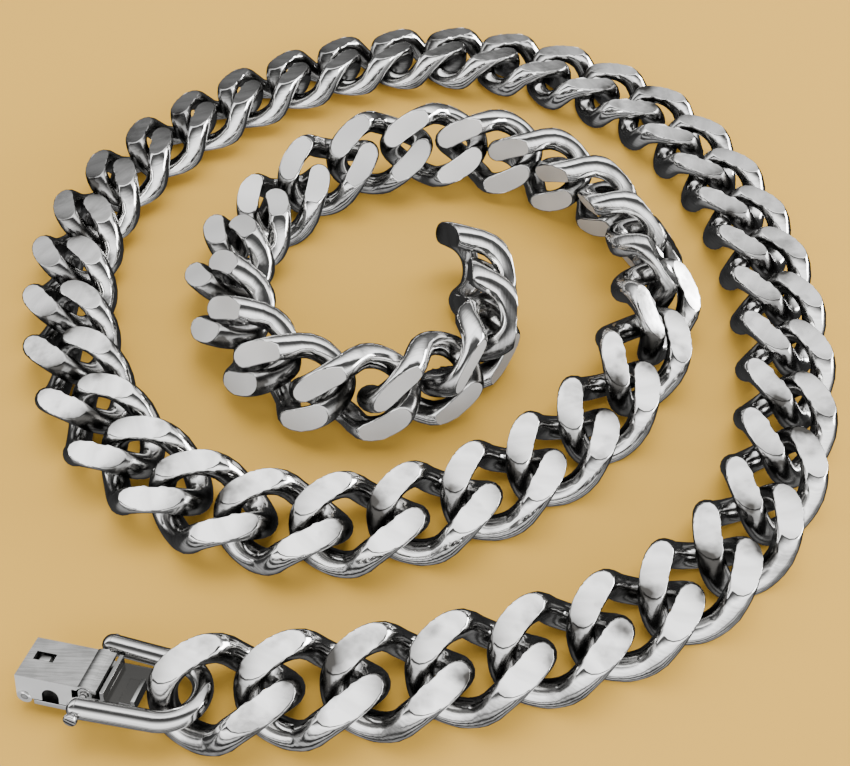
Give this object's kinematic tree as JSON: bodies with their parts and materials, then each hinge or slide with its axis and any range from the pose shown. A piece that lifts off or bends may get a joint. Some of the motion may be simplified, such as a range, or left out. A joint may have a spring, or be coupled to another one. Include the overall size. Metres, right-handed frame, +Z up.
{
  "type": "curb chain necklace",
  "caption": "Heavy curb chain necklace of twisted links filed flat, lying unfastened in a spiral, with a fold-over clasp on its outer end.",
  "frame": {"origin": "middle of the spiral's outline, on the table it lies on", "axes": "+Z up from the table, +Y away from the clasp's side of the spiral, +X along the first links from the clasp"},
  "size_m": [0.0973, 0.1131, 0.011],
  "materials": {
    "link_silver": "polished, flats softly brushed",
    "clasp_silver": "polished, worn"
  },
  "bodies": {
    "chain": {"outer_turn": "link_silver", "inner_coil": "link_silver", "stirrup": "clasp_silver", "hinge_pin": "clasp_silver"},
    "base": {"clasp_base": "clasp_silver", "cover_pin": "clasp_silver"},
    "cover": {"clasp_cover": "clasp_silver"}
  },
  "joints": [
    {"name": "clasp_swing", "type": "hinge", "parent": "chain", "child": "base", "pos_m": [-0.0304, -0.0493, 0.00309], "axis": [0.2017, 0.9491, -0.2419], "range_deg": [-100, 100]},
    {"name": "cover_lift", "type": "hinge", "parent": "base", "child": "cover", "pos_m": [-0.03645, -0.04845, 0.00139], "axis": [-0.2017, -0.9491, 0.2419], "range_deg": [0, 90]}
  ]
}
